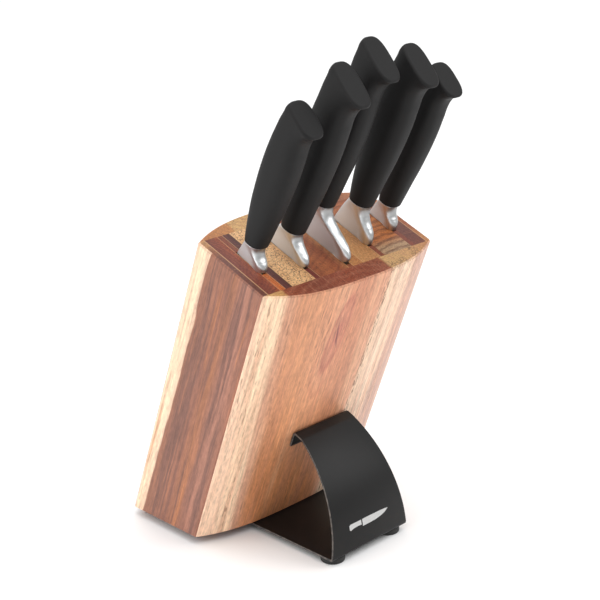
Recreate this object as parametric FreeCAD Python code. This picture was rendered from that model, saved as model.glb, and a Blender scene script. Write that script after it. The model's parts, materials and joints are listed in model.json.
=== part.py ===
"""Knife block on a bent steel stand, with five knives that lift out along their slots.

Millimetres, +Z up, the curved face of the stand towards -Y. The block and the knives are drawn
upright, with the block's middle line on the Z axis, and then leaned forward together. Depths are
counted towards the front, so a depth of v lies at y = -v before the lean.
"""
import FreeCAD, Part
import math
import os

os.makedirs("parts", exist_ok=True)

Vector = FreeCAD.Vector

# ---- block of glued boards ----
block_width = 150.0
core_depth = 59.0
bow_depth = 13.5
bow_power = 3.1
block_length = 210.0
lean_angle = 21.7
edge_chamfer = 1.0
end_board = 4.8
dark_strip = 5.9
light_lamella = 9.1

# ---- slots ----
slot_pitch = 29.0
slot_width = 3.8
blade_side_gap = 0.6
rest_gap = 0.05

# ---- stand: one bent sheet ----
sheet = 1.6
foot_height = 4.0
front_bend = 2.6
arch_radius = 83.0
arch_turn = 55.0
ridge_radius = 9.0
ridge_turn = 12.0
shelf_length = 4.5
hook_bend = 2.6
flange_length = 9.0
flange_gap = 0.05
base_half_width = 35.0
arch_top_half_width = 24.5
base_rear_overhang = 26.0

# ---- feet and screws ----
foot_radius = 8.0
foot_inset = 9.0
foot_round = 1.5
screw_shank = 1.75
screw_head = 3.6
screw_head_depth = 1.6
screw_length = 22.0
screw_point = 0.3
screw_half_pitch_x = 14.5
screw_half_pitch_y = 14.0

# ---- what the knives share ----
blade_thickness = 2.2
edge_thickness = 0.4
grind_share = 0.35
sheep_turn = 0.9
sheep_shoulder = 0.35
belly_round = 0.3
spear_bulge = 0.27
spear_rise = 0.22
round_tip = 0.32
scallop_pitch = 8.0
scallop_depth = 1.1
bread_heel = 16.0
bolster_foot_thickness = 4.8
tang_width = 9.0
tang_share = 0.62
butt_slope = 28.0

# name: slot number, slot reach to the rear and front, blade length, tip, bolster height at the
# middle of its joint, height of the butt's middle, depth of grip, how much deeper the head is,
# shift of grip to the front
KNIVES = {
    "paring_knife": dict(slot=-2, rear=12.0, front=12.6, blade=88.0, tip="spear", bolster=15.0,
                         butt=106.0, grip=1.00, head=0.97, shift=0.4),
    "santoku_knife": dict(slot=-1, rear=18.2, front=19.4, blade=150.0, tip="sheep", bolster=18.0,
                          butt=123.7, grip=1.12, head=1.05, shift=1.5),
    "chefs_knife": dict(slot=0, rear=19.1, front=26.8, blade=195.0, tip="spear", bolster=26.0,
                        butt=131.3, grip=1.05, head=1.10, shift=-6.0),
    "bread_knife": dict(slot=1, rear=16.2, front=18.0, blade=195.0, tip="bread", bolster=23.0,
                        butt=126.6, grip=1.13, head=1.02, shift=1.0),
    "utility_knife": dict(slot=2, rear=11.6, front=12.0, blade=125.0, tip="spear", bolster=16.0,
                          butt=112.5, grip=0.98, head=0.97, shift=2.0),
}

# stations up the grip from its joint with the bolster: share of the height to the butt's middle,
# depth of the station's middle, half depth, half thickness
GRIP = [
    (0.00, 0.2, 7.0, 7.2),
    (0.20, 0.7, 9.6, 8.2),
    (0.40, 2.1, 11.4, 8.9),
    (0.60, 3.6, 12.0, 9.2),
    (0.79, 4.9, 11.2, 9.0),
    (0.87, 6.6, 11.4, 8.8),
    (0.94, 9.8, 13.2, 8.6),
    (1.08, 12.8, 13.6, 8.4),
    (1.25, 14.5, 13.6, 8.2),
]
butt_middle = 12.5
head_start = 0.9
joint_tilt = 17.0
grip_power = 2.5
bolster_power = 5.0
bolster_stations = [0.0, 0.25, 0.5, 0.75]
section_points = 24
guard_sweep = 1.7
flank_swell = 1.5

# ---- worked out ----
lean = math.radians(lean_angle)
seat_height = foot_height + sheet
half_width = block_width / 2
half_core = core_depth / 2
slot_half = slot_width / 2
far = 600.0
under = far / 4

nodes = {}


def place(x, v, w):
    """Point at width x, depth v towards the front and height w up the block."""
    return Vector(x, -v, w)


def slab(x0, x1, v0, v1, w0, w1):
    """Upright box between two widths, two depths and two heights."""
    return Part.makeBox(x1 - x0, v1 - v0, w1 - w0, place(x0, v1, w0))


def lean_forward(shape):
    """Lean an upright shape with the block and stand it on the base plate."""
    leaned = shape.copy()
    leaned.rotate(Vector(0, 0, 0), Vector(1, 0, 0), lean_angle)
    leaned.translate(Vector(0, 0, seat_height))
    return leaned


def bow(x):
    """Depth of the bowed face at width x."""
    return half_core + bow_depth * (1 - abs(x / half_width) ** bow_power)


def bowed_edge(side):
    """Edge along the bowed face: side 1 is the front, side -1 is the back."""
    steps = 24
    widths = [half_width * (2 * i / steps - 1) for i in range(steps + 1)]
    curve = Part.BSplineCurve()
    curve.interpolate([place(x, side * bow(x), -under) for x in widths])
    return curve.toShape()


def block_envelope():
    """The whole block as one chamfered solid, from which every board is cut."""
    front = bowed_edge(1)
    back = bowed_edge(-1)
    corners = [place(x, v, -under) for x in (-half_width, half_width) for v in (-half_core, half_core)]
    left = Part.makeLine(corners[0], corners[1])
    right = Part.makeLine(corners[3], corners[2])
    face = Part.Face(Part.Wire(Part.__sortEdges__([front, right, back, left])))
    prism = lean_forward(face.extrude(Vector(0, 0, block_length + under)))
    below = Part.makeBox(far, far, far, Vector(-far / 2, -far / 2, seat_height - far))
    block = prism.cut(below)
    return block.makeChamfer(edge_chamfer, block.Edges)


def board(envelope, x0, x1, v0, v1):
    """One board: the part of the envelope between two widths and two depths."""
    return envelope.common(lean_forward(slab(x0, x1, v0, v1, -under, far)))


def wood_screw_hole():
    """Every wood screw at its place, to be cut from what it passes through."""
    return Part.Compound([wood_screw(x, y) for x in (-screw_half_pitch_x, screw_half_pitch_x)
                          for y in (-screw_half_pitch_y, screw_half_pitch_y)])


def wood_screw(x, y):
    """Countersunk wood screw, driven up through the base plate."""
    foot = Vector(x, y, foot_height)
    up = Vector(0, 0, 1)
    head = Part.makeCone(screw_head, screw_shank, screw_head_depth, foot, up)
    point_height = 2 * screw_shank
    shank = Part.makeCylinder(screw_shank, screw_length - point_height, foot, up)
    point_base = Vector(x, y, foot_height + screw_length - point_height)
    point = Part.makeCone(screw_shank, screw_point, point_height, point_base, up)
    return head.fuse([shank, point]).removeSplitter()


def build_block():
    """Boards, and the slips that close each slot at its front and rear."""
    envelope = block_envelope()
    screws = wood_screw_hole()
    deep = half_core + 2 * bow_depth
    walls = {
        "left_end_board": (-half_width, -half_width + end_board),
        "right_end_board": (half_width - end_board, half_width),
    }
    inner = half_width - end_board
    slot_x = [slot_pitch * k for k in (-2, -1, 0, 1, 2)]
    strip_edge = slot_x[0] + slot_half + dark_strip
    lamella_edge = slot_x[3] - slot_half - (slot_pitch - slot_width - light_lamella)
    walls["core_board_1"] = (-inner, slot_x[0] - slot_half)
    walls["core_board_2"] = (slot_x[0] + slot_half, strip_edge)
    walls["core_board_3"] = (strip_edge, slot_x[1] - slot_half)
    walls["core_board_4"] = (slot_x[1] + slot_half, slot_x[2] - slot_half)
    walls["core_board_5"] = (slot_x[2] + slot_half, lamella_edge)
    walls["core_board_6"] = (lamella_edge, slot_x[3] - slot_half)
    walls["core_board_7"] = (slot_x[3] + slot_half, slot_x[4] - slot_half)
    walls["core_board_8"] = (slot_x[4] + slot_half, inner)
    for name, (x0, x1) in walls.items():
        nodes[name] = board(envelope, x0, x1, -half_core, half_core).cut(screws)
    nodes["front_board"] = board(envelope, -half_width, half_width, half_core, deep)
    nodes["back_board"] = board(envelope, -half_width, half_width, -deep, -half_core)
    for name, knife in KNIVES.items():
        x = slot_pitch * knife["slot"]
        stem = name.replace("_knife", "")
        left, right = x - slot_half, x + slot_half
        nodes[stem + "_slot_front_slip"] = board(envelope, left, right, knife["front"], half_core)
        nodes[stem + "_slot_rear_slip"] = board(envelope, left, right, -half_core, -knife["rear"])


class SheetPath:
    """Draws both edges of a bent sheet in the plane x = 0, from lines and arcs."""

    def __init__(self, y, z, heading):
        self.y = y
        self.z = z
        self.heading = math.radians(heading)
        self.outer = []
        self.inner = []
        self.end_face = Part.makeLine(self.point(0), self.point(sheet))

    def point(self, offset):
        """Point beside the path, offset to its right, which is the inner side."""
        across = offset * math.sin(self.heading)
        down = offset * math.cos(self.heading)
        return Vector(0, self.y + across, self.z - down)

    def line(self, length):
        outer_start, inner_start = self.point(0), self.point(sheet)
        self.y += length * math.cos(self.heading)
        self.z += length * math.sin(self.heading)
        self.outer.append(Part.makeLine(outer_start, self.point(0)))
        self.inner.append(Part.makeLine(inner_start, self.point(sheet)))

    def bend(self, radius, turn):
        """Arc to the right, of the given outer radius and turn in degrees."""
        centre = self.point(radius)
        outer = [self.point(0)]
        inner = [self.point(sheet)]
        for _ in range(2):
            self.heading -= math.radians(turn) / 2
            self.y = centre.y - radius * math.sin(self.heading)
            self.z = centre.z + radius * math.cos(self.heading)
            outer.append(self.point(0))
            inner.append(self.point(sheet))
        self.outer.append(Part.Arc(*outer).toShape())
        self.inner.append(Part.Arc(*inner).toShape())

    def face(self):
        last = Part.makeLine(self.point(0), self.point(sheet))
        edges = self.outer + [last] + self.inner + [self.end_face]
        return Part.Face(Part.Wire(Part.__sortEdges__(edges)))


def arch_outline(arch_foot):
    """Front view of the stand: straight at the base, narrowing evenly along the arch."""
    steps = 8
    top = arch_foot + 2 * arch_radius
    edges = [Part.makeLine(Vector(-base_half_width, 0, 0), Vector(base_half_width, 0, 0))]
    for sign in (1, -1):
        side = []
        for i in range(steps + 1):
            share = i / steps
            half = base_half_width + (arch_top_half_width - base_half_width) * share
            height = arch_foot + arch_radius * math.sin(math.radians(arch_turn) * share)
            side.append(Vector(sign * half, 0, height))
        curve = Part.BSplineCurve()
        curve.interpolate(side)
        foot = Vector(sign * base_half_width, 0, 0)
        head = Vector(sign * arch_top_half_width, 0, top)
        edges.append(curve.toShape())
        edges.append(Part.makeLine(foot, side[0]))
        edges.append(Part.makeLine(side[-1], head))
    left, right = Vector(-arch_top_half_width, 0, top), Vector(arch_top_half_width, 0, top)
    edges.append(Part.makeLine(left, right))
    return Part.Face(Part.Wire(Part.__sortEdges__(edges)))


def build_stand():
    """Bent sheet, from the rear of the base plate to the flange on the block's front."""
    trial = SheetPath(0.0, foot_height, 180.0)
    bends = [(front_bend, 90.0), (arch_radius, arch_turn), (ridge_radius, ridge_turn)]
    for radius, turn in bends:
        trial.bend(radius, turn)
    trial.line(shelf_length)
    hook_turn = 90.0 - arch_turn - ridge_turn + 90.0 - lean_angle
    trial.bend(hook_bend, hook_turn)
    front_face = half_core + bow_depth + flange_gap
    contact_height = (trial.z - seat_height + front_face * math.sin(lean)) / math.cos(lean)
    contact_y = -contact_height * math.sin(lean) - front_face * math.cos(lean)
    base_front = contact_y - trial.y
    path = SheetPath(base_rear_overhang, foot_height, 180.0)
    path.line(base_rear_overhang - base_front)
    for radius, turn in bends:
        path.bend(radius, turn)
    path.line(shelf_length)
    path.bend(hook_bend, hook_turn)
    path.line(flange_length)
    band = path.face()
    band.translate(Vector(-far / 2, 0, 0))
    outline = arch_outline(foot_height + front_bend)
    outline.translate(Vector(0, -far / 2, 0))
    stand = band.extrude(Vector(far, 0, 0)).common(outline.extrude(Vector(0, far, 0)))
    nodes["stand_sheet"] = stand.cut(wood_screw_hole())
    nodes["base_screws"] = wood_screw_hole()
    foot_x = base_half_width - foot_inset
    foot_ys = {"front": base_front - front_bend + foot_inset, "rear": base_rear_overhang - foot_inset}
    for depth_name, y in foot_ys.items():
        for side_name, x in (("left", -foot_x), ("right", foot_x)):
            foot = Part.makeCylinder(foot_radius, foot_height, Vector(x, y, 0))
            rim = [edge for edge in foot.Edges if edge.BoundBox.ZMax < foot_height / 2]
            nodes[depth_name + "_" + side_name + "_foot"] = foot.makeFillet(foot_round, rim)


def section(x, w, middle, half_depth, half_thickness, power):
    """Closed rounded outline across a grip or bolster, at height w."""
    points = []
    for i in range(section_points):
        angle = 2 * math.pi * i / section_points
        across = math.cos(angle)
        along = math.sin(angle)
        dx = half_thickness * math.copysign(abs(across) ** (2 / power), across)
        dv = half_depth * math.copysign(abs(along) ** (2 / power), along)
        points.append(place(x + dx, middle + dv, w))
    curve = Part.BSplineCurve()
    curve.interpolate(points, PeriodicFlag=True)
    return Part.Wire(curve.toShape())


def tilted_half_space(x, v, w, tilt):
    """Big solid below a plane through a point, the plane rising towards the front by tilt."""
    half = slab(x - far / 2, x + far / 2, -far / 2, far / 2, -far, 0)
    half.rotate(Vector(x, 0, 0), Vector(1, 0, 0), -tilt)
    half.translate(Vector(0, -v, w))
    return half


def hold_outline(knife):
    """Bolster and grip in one loft, with the butt cut on its slope."""
    x = slot_pitch * knife["slot"]
    bottom, joint = rest_gap, knife["bolster"]
    start = GRIP[0]
    foot_middle = (knife["front"] - knife["rear"]) / 2
    foot_half = (knife["front"] + knife["rear"]) / 2
    grip_foot = start[1] + knife["shift"] / 2
    wires = []
    for share in bolster_stations:
        w = block_length + bottom + share * (joint - bottom)
        front = foot_middle + foot_half
        front += (grip_foot + start[2] - front) * (1 - (1 - share) ** guard_sweep)
        rear = foot_middle - foot_half
        rear += (grip_foot - start[2] - rear) * share
        foot_thick = bolster_foot_thickness / 2
        thick = foot_thick + (start[3] - foot_thick) * share ** flank_swell
        power = bolster_power + (grip_power - bolster_power) * share
        wires.append(section(x, w, (front + rear) / 2, (front - rear) / 2, thick, power))
    for share, middle, half_depth, half_thickness in GRIP:
        w = block_length + joint + share * (knife["butt"] - joint)
        moved = middle + knife["shift"] * (0.5 + share / 2)
        depth = half_depth * knife["grip"]
        if share > head_start:
            depth *= knife["head"]
        wires.append(section(x, w, moved, depth, half_thickness, grip_power))
    loft = Part.makeLoft(wires, True, False)
    butt = tilted_half_space(x, butt_middle + knife["shift"], block_length + knife["butt"], -butt_slope)
    return loft.common(butt)


def bread_edge(edge, low, high):
    """Arcs of a scalloped cutting edge from low to near high, and where the last one ends."""
    arcs = []
    while low < high - scallop_pitch:
        middle = place(0, edge - scallop_depth, low + scallop_pitch / 2)
        start = place(0, edge, low)
        low += scallop_pitch
        arcs.append(Part.Arc(start, middle, place(0, edge, low)).toShape())
    return arcs, low


def blade_outline(knife):
    """Side view of the blade below the bolster, tip down, as a closed wire at x = 0."""
    back = -knife["rear"] + blade_side_gap
    edge = knife["front"] - blade_side_gap
    top = block_length + rest_gap
    tip = top - knife["blade"]
    depth = edge - back
    if knife["tip"] == "sheep":
        turn = place(0, back, tip + sheep_turn * depth)
        shoulder = place(0, back + sheep_shoulder * depth, tip + sheep_shoulder * depth)
        point = place(0, edge - 1, tip)
        belly_middle = place(0, edge - belly_round, tip + depth / 2)
        last = place(0, edge, tip + depth)
        sides = [Part.makeLine(place(0, back, top), turn)]
        sides.append(Part.Arc(turn, shoulder, point).toShape())
        sides.append(Part.Arc(point, belly_middle, last).toShape())
    elif knife["tip"] == "bread":
        start = tip + depth
        point = place(0, back, tip)
        bulge = place(0, edge - round_tip * depth, tip + round_tip * depth)
        sides = [Part.makeLine(place(0, back, top), point)]
        sides.append(Part.Arc(point, bulge, place(0, edge, start)).toShape())
        arcs, end = bread_edge(edge, start, top - bread_heel)
        sides += arcs
        last = place(0, edge, end)
    else:
        point = place(0, back, tip)
        bulge = place(0, edge - spear_bulge * depth, tip + spear_rise * knife["blade"])
        last = place(0, edge, tip + knife["blade"] / 2)
        sides = [Part.makeLine(place(0, back, top), point)]
        sides.append(Part.Arc(point, bulge, last).toShape())
    sides.append(Part.makeLine(last, place(0, edge, top)))
    sides.append(Part.makeLine(place(0, edge, top), place(0, back, top)))
    return Part.Wire(Part.__sortEdges__(sides))


def blade_wedge(knife):
    """Long prism, thick at the blade's back and thin at its cutting edge."""
    back = -knife["rear"] + blade_side_gap
    edge = knife["front"] - blade_side_gap
    grind = back + grind_share * (edge - back)
    thick, thin = blade_thickness / 2, edge_thickness / 2
    low = block_length - far / 2
    corners = [(-thick, back), (thick, back), (thick, grind)]
    corners += [(thin, edge), (-thin, edge), (-thick, grind)]
    points = [place(x, v, low) for x, v in corners]
    return Part.Face(Part.makePolygon(points + points[:1])).extrude(Vector(0, 0, far))


def build_knife(name, knife):
    """Blade with its tang, bolster and grip of one knife."""
    x = slot_pitch * knife["slot"]
    joint = knife["bolster"]
    plate = Part.Face(blade_outline(knife)).extrude(Vector(blade_thickness, 0, 0))
    plate.translate(Vector(-blade_thickness / 2, 0, 0))
    flat = plate.common(blade_wedge(knife))
    tang_top = block_length + joint + tang_share * (knife["butt"] - joint)
    tang_middle = knife["shift"] / 2
    half_tang = tang_width / 2
    half_blade = blade_thickness / 2
    tang = slab(-half_blade, half_blade, tang_middle - half_tang, tang_middle + half_tang,
                block_length - tang_width, tang_top)
    blade = flat.fuse(tang).removeSplitter()
    blade.translate(Vector(x, 0, 0))
    tang.translate(Vector(x, 0, 0))
    whole = hold_outline(knife)
    lower = tilted_half_space(x, knife["shift"] / 2, block_length + joint, joint_tilt)
    bolster = whole.common(lower).cut(tang)
    grip = whole.cut(lower).cut(tang)
    nodes[name + "_blade"] = blade
    nodes[name + "_bolster"] = bolster
    nodes[name + "_handle"] = grip


build_block()
upright = set()
for knife_name, knife_sizes in KNIVES.items():
    before = set(nodes)
    build_knife(knife_name, knife_sizes)
    upright |= set(nodes) - before
for node_name in upright:
    nodes[node_name] = lean_forward(nodes[node_name])
build_stand()

whole_object = Part.Compound(list(nodes.values()))
box = whole_object.optimalBoundingBox(False, False)
centring = Vector(-(box.XMin + box.XMax) / 2, -(box.YMin + box.YMax) / 2, -box.ZMin)
for node_name, shape in nodes.items():
    shape.translate(centring)
    shape.exportStep("parts/" + node_name + ".step")
    print(node_name, len(shape.Solids), round(shape.Volume, 1), shape.isValid())
print("size", round(box.XLength, 2), round(box.YLength, 2), round(box.ZLength, 2), "moved", centring)
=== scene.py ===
"""Looks of the knife block: the wood of its boards, its stand, and the knives that stand in it.

Metres in the object's frame. Sizes of pieces are written in millimetres and turned by MM. The block's
own axes are upright: X across, Y away from the front, Z along the slots, from the middle of its top.
"""

import json
import math
from types import SimpleNamespace

import bmesh
import bpy
from mathutils import Matrix, Vector


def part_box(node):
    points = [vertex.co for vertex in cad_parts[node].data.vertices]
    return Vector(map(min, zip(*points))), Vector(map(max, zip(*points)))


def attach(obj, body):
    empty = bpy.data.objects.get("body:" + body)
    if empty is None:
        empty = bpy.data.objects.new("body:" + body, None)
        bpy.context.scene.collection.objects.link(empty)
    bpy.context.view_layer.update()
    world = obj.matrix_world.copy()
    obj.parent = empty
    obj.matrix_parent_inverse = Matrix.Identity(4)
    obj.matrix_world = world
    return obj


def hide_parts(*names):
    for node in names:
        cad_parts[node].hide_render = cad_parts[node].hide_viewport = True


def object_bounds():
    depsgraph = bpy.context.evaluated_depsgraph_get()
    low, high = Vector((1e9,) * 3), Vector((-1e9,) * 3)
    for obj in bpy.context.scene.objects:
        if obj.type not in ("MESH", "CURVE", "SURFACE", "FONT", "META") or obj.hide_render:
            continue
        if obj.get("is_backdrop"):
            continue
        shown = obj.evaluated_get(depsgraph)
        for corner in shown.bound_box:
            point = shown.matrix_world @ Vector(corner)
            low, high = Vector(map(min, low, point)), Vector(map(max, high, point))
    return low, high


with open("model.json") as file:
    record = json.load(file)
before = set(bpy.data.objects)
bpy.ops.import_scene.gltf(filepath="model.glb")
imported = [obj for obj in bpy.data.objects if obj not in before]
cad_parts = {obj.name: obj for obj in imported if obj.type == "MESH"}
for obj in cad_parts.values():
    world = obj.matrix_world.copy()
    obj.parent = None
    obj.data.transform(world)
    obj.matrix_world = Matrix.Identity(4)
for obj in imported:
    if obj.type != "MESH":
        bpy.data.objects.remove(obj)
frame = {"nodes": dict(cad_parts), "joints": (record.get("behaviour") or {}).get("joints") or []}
cad_low, cad_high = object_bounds()

MM = 0.001

# ---- each knife: how high its joint and its butt stand above the block's top, how deep its grip and
# its head are against the common one, and how far its joint and its butt are moved to the front ----
KNIVES = {
    "paring_knife": dict(joint=15.0, butt=106.0, depth=1.00, head=0.97, joint_shift=0.2, butt_shift=0.4),
    "santoku_knife": dict(joint=18.0, butt=123.7, depth=1.12, head=1.06, joint_shift=0.7, butt_shift=1.4),
    "chefs_knife": dict(joint=26.0, butt=131.3, depth=1.05, head=1.14, joint_shift=-5.5, butt_shift=-6.0),
    "bread_knife": dict(joint=23.0, butt=126.6, depth=1.13, head=1.04, joint_shift=0.5, butt_shift=0.9),
    "utility_knife": dict(joint=16.0, butt=112.5, depth=0.98, head=0.97, joint_shift=1.0, butt_shift=2.0),
}

# ---- the grip, from the bolster to the butt: share of the way along its side, depth of the middle
# towards the front, half depth, share of the height, tilt in degrees, half thickness ----
GRIP = [
    (0.00, 0.2, 7.0, 0.000, -3.0, 7.2),
    (0.20, 0.8, 9.6, 0.195, -3.0, 8.2),
    (0.40, 2.1, 11.4, 0.395, -5.0, 8.9),
    (0.58, 3.5, 11.9, 0.580, -10.0, 9.2),
    (0.74, 4.9, 11.1, 0.750, -18.0, 9.0),
    (0.85, 6.1, 10.2, 0.860, -24.0, 8.8),
    (0.92, 7.6, 10.2, 0.920, -27.0, 8.7),
    (0.965, 9.2, 11.0, 0.957, -28.0, 8.6),
    (1.00, 11.4, 11.7, 0.984, -28.0, 8.5),
]

# ---- the bolster, from the slot to the grip: share of the way up, how far its front edge and its
# back edge have moved from the slot's end to the grip, half thickness of its flank and of its bulb,
# and how deep its front edge is waisted ----
BOLSTER = [
    (0.00, 0.06, 0.00, 1.7, 4.2, 0.0),
    (0.12, 0.00, 0.08, 1.7, 4.7, 0.0),
    (0.26, 0.06, 0.20, 1.8, 5.4, 0.1),
    (0.45, 0.32, 0.35, 2.0, 5.8, 0.9),
    (0.62, 0.64, 0.52, 2.6, 6.0, 1.7),
    (0.80, 0.90, 0.74, 4.2, 6.4, 1.5),
    (1.00, 1.00, 1.00, 7.0, 7.0, 0.0),
]

# ---- the block's own axes ----
slide = Vector(frame["joints"][0]["axis"])
lean = math.atan2(-slide.y, slide.z)
lean_turn = Matrix.Rotation(lean, 4, "X")


def upright_span(node):
    """Lowest and highest corner of a CAD node, turned upright."""
    back = lean_turn.inverted()
    points = [back @ vertex.co for vertex in frame["nodes"][node].data.vertices]
    low = Vector(min(p[i] for p in points) for i in range(3))
    high = Vector(max(p[i] for p in points) for i in range(3))
    return low, high


end_low, end_high = upright_span("left_end_board")
block_axes = lean_turn @ Matrix.Translation((0, (end_low.y + end_high.y) / 2, end_high.z))


# ---- node trees ----
class Flow:
    """One output of a node tree. Arithmetic on it adds Math nodes."""

    def __init__(self, sheet, socket):
        self.sheet = sheet
        self.socket = socket

    def math(self, operation, *others):
        sockets = dict(enumerate((self, *others)))
        return self.sheet.add("ShaderNodeMath", {"operation": operation}, sockets)

    def __add__(self, other):
        return self.math("ADD", other)

    def __sub__(self, other):
        return self.math("SUBTRACT", other)

    def __rsub__(self, other):
        return (self * -1) + other

    def __mul__(self, other):
        return self.math("MULTIPLY", other)

    def __truediv__(self, other):
        return self.math("DIVIDE", other)

    def __rtruediv__(self, other):
        return (self ** -1) * other

    def __pow__(self, other):
        return self.math("POWER", other)

    __radd__ = __add__
    __rmul__ = __mul__

    def clamp(self):
        return self.sheet.add("ShaderNodeClamp", {}, {0: self})

    def step(self, low, high):
        """Smooth step from 0 at low to 1 at high."""
        settings = {"interpolation_type": "SMOOTHSTEP"}
        return self.sheet.add("ShaderNodeMapRange", settings, {0: self, 1: low, 2: high})


class Sheet:
    """A node tree while it is drawn."""

    def __init__(self, tree):
        self.tree = tree

    def add(self, kind, settings=None, sockets=None, out=0):
        """Adds a node, applies its settings, feeds its sockets and gives one of its outputs."""
        node = self.tree.nodes.new(kind)
        for name, value in (settings or {}).items():
            if name == "stops":
                self.set_stops(node.color_ramp, value)
            elif name == "profile":
                self.set_profile(node.mapping, value)
            else:
                setattr(node, name, value)
        for name, value in (sockets or {}).items():
            if isinstance(value, Flow):
                self.tree.links.new(value.socket, node.inputs[name])
            else:
                node.inputs[name].default_value = value
        return Flow(self, node.outputs[out]) if node.outputs else node

    @staticmethod
    def set_stops(ramp, stops):
        while len(ramp.elements) < len(stops):
            ramp.elements.new(1.0)
        for element, (position, colour) in zip(ramp.elements, stops):
            element.position = position
            element.color = (*colour, 1.0)

    @staticmethod
    def set_profile(mapping, points):
        curve = mapping.curves[0]
        while len(curve.points) < len(points):
            curve.points.new(1.0, 1.0)
        for point, location in zip(curve.points, points):
            point.location = location
            point.handle_type = "AUTO"
        mapping.update()

    def split(self, vector):
        """The three parts of a vector."""
        node = self.add("ShaderNodeSeparateXYZ", {}, {0: vector}).socket.node
        return [Flow(self, output) for output in node.outputs]

    def join(self, x, y, z):
        return self.add("ShaderNodeCombineXYZ", {}, {0: x, 1: y, 2: z})

    def profile(self, share, stations, column):
        """A smooth curve through one column of a table of stations, read at a share."""
        values = [row[column] for row in stations]
        low, high = min(values), max(values)
        reach = max(high - low, 1e-6)
        points = [(row[0], (row[column] - low) / reach) for row in stations]
        curve = self.add("ShaderNodeFloatCurve", {"profile": points}, {"Value": share})
        return curve * reach + low


def shape_sheet(name, inputs):
    """A new Geometry Nodes tree with named number inputs: the sheet and the inputs as flows."""
    tree = bpy.data.node_groups.new(name, "GeometryNodeTree")
    for label in inputs:
        tree.interface.new_socket(label, in_out="INPUT", socket_type="NodeSocketFloat")
    tree.interface.new_socket("Material", in_out="INPUT", socket_type="NodeSocketMaterial")
    tree.interface.new_socket("Geometry", in_out="OUTPUT", socket_type="NodeSocketGeometry")
    sheet = Sheet(tree)
    source = sheet.add("NodeGroupInput").socket.node
    return sheet, {label: Flow(sheet, source.outputs[label]) for label in (*inputs, "Material")}


def finish_shape(sheet, geometry, material):
    """Ends a tree: instances made real, material set, output joined."""
    real = sheet.add("GeometryNodeRealizeInstances", {}, {0: geometry})
    dressed = sheet.add("GeometryNodeSetMaterial", {}, {"Geometry": real, "Material": material})
    sheet.add("NodeGroupOutput", {}, {0: dressed})
    return sheet.tree


def make_piece(name, tree, sizes, material, turn=None):
    """A plain mesh from a tree and its sizes, placed by turn."""
    carrier = bpy.data.objects.new(name + "_carrier", bpy.data.meshes.new(name + "_carrier"))
    bpy.context.scene.collection.objects.link(carrier)
    modifier = carrier.modifiers.new("shape", "NODES")
    modifier.node_group = tree
    values = {**sizes, "Material": material}
    for item in tree.interface.items_tree:
        if item.in_out == "INPUT":
            modifier[item.identifier] = values[item.name]
    seen = carrier.evaluated_get(bpy.context.evaluated_depsgraph_get())
    mesh = bpy.data.meshes.new_from_object(seen)
    bpy.data.objects.remove(carrier)
    mesh.name = name
    if turn is not None:
        mesh.transform(turn)
    face_outwards(mesh)
    piece = bpy.data.objects.new(name, mesh)
    bpy.context.scene.collection.objects.link(piece)
    return piece


def face_outwards(mesh):
    """Turns every face of a closed mesh outwards."""
    shell = bmesh.new()
    shell.from_mesh(mesh)
    bmesh.ops.recalc_face_normals(shell, faces=shell.faces)
    shell.to_mesh(mesh)
    shell.free()


ROUND_STEPS = 80
ALONG_STEPS = 150


def tube_grid(sheet):
    """A unit grid to be rolled into a closed tube: geometry, share along it, cosine, sine."""
    sockets = {"Size X": 1.0, "Size Y": 1.0, "Vertices X": ROUND_STEPS + 1, "Vertices Y": ALONG_STEPS}
    grid = sheet.add("GeometryNodeMeshGrid", {}, sockets)
    across, along, _ = sheet.split(sheet.add("GeometryNodeInputPosition"))
    angle = (across + 0.5) * math.tau
    return grid, along + 0.5, angle.math("COSINE"), angle.math("SINE")


def rounded(sine, power):
    """A superellipse's reach for the sine or cosine of an angle."""
    return sine.math("SIGN") * (sine.math("ABSOLUTE") ** (2 / power))


def roll_up(sheet, grid, x, y, z):
    """Moves the grid's points into place and closes its seam and its poles."""
    moved = sheet.add("GeometryNodeSetPosition", {}, {"Geometry": grid, "Position": sheet.join(x, y, z)})
    merged = sheet.add("GeometryNodeMergeByDistance", {}, {"Geometry": moved, "Distance": 1e-6})
    return sheet.add("GeometryNodeSetShadeSmooth", {}, {"Geometry": merged})


def grip_tree():
    """One grip: a lofted side from the joint to the butt, with a rounded rim and a flat butt."""
    sizes = ("Slot Middle", "Joint Height", "Butt Height", "Depth", "Head", "Joint Shift",
             "Butt Shift", "Rim")
    sheet, given = shape_sheet("grip_shape", sizes)
    grid, share, cosine, sine = tube_grid(sheet)
    foot_share, rim_share, face_share = 0.03, 0.88, 0.94
    foot = (share / foot_share).clamp()
    side = ((share - foot_share) / (rim_share - foot_share)).clamp()
    rim = ((share - rim_share) / (face_share - rim_share)).clamp() * (math.pi / 2)
    face = ((share - face_share) / (1 - face_share)).clamp()
    inset = given["Rim"] * (1 - rim.math("COSINE"))
    keep = foot * (1 - face)
    shift = given["Joint Shift"] + (given["Butt Shift"] - given["Joint Shift"]) * side
    middle = sheet.profile(side, GRIP, 1) + shift
    swell = (given["Head"] - 1) * side.step(0.75, 0.98) + 1
    half_depth = (sheet.profile(side, GRIP, 2) * given["Depth"] * swell - inset) * keep
    half_thick = (sheet.profile(side, GRIP, 5) - inset) * keep
    tilt = sheet.profile(side, GRIP, 4) * math.radians(1)
    height = sheet.profile(side, GRIP, 3) * (given["Butt Height"] - given["Joint Height"])
    rise = given["Rim"] * rim.math("SINE")
    power = side * 0.7 + 2.3
    reach = half_depth * rounded(sine, power)
    depth = middle + reach - rise * tilt.math("SINE")
    up = given["Joint Height"] + height + reach * tilt.math("TANGENT") + rise * tilt.math("COSINE")
    across = given["Slot Middle"] + half_thick * rounded(cosine, power)
    shape = roll_up(sheet, grid, across * MM, depth * -MM, up * MM)
    return finish_shape(sheet, shape, given["Material"])


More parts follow.
